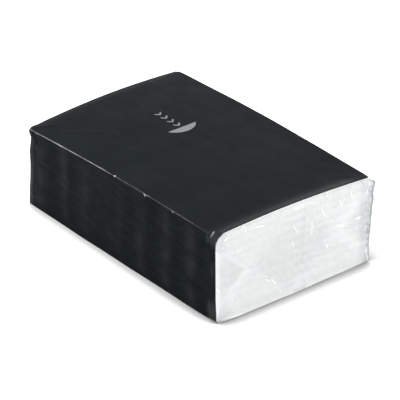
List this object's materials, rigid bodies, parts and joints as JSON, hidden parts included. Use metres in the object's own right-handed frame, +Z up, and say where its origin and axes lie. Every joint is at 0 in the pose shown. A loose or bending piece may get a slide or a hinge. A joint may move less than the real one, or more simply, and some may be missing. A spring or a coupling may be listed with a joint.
{
  "type": "pocket tissue pack",
  "caption": "Sealed film pack of folded pocket tissues with a black printed body, clear envelope-folded ends and a half-moon opening mark.",
  "frame": {"origin": "centre of the pack's footprint, on the surface it lies on", "axes": "+X along the pack, away from the row of small marks; +Y across it; +Z up through its largest face"},
  "size_m": [0.0792, 0.05, 0.0259],
  "materials": {
    "clear_film": "clear thin film, glossy",
    "black_ink": "satin black print on film",
    "silver_ink": "flat silver-grey print",
    "tissue_paper": "soft white tissue"
  },
  "bodies": {
    "root": {"film_wrapper": "clear_film", "black_print": "black_ink", "tab_print": "silver_ink", "tissue_01": "tissue_paper", "tissue_02": "tissue_paper", "tissue_03": "tissue_paper", "tissue_04": "tissue_paper", "tissue_05": "tissue_paper", "tissue_06": "tissue_paper", "tissue_07": "tissue_paper", "tissue_08": "tissue_paper", "tissue_09": "tissue_paper", "tissue_10": "tissue_paper"}
  },
  "joints": []
}
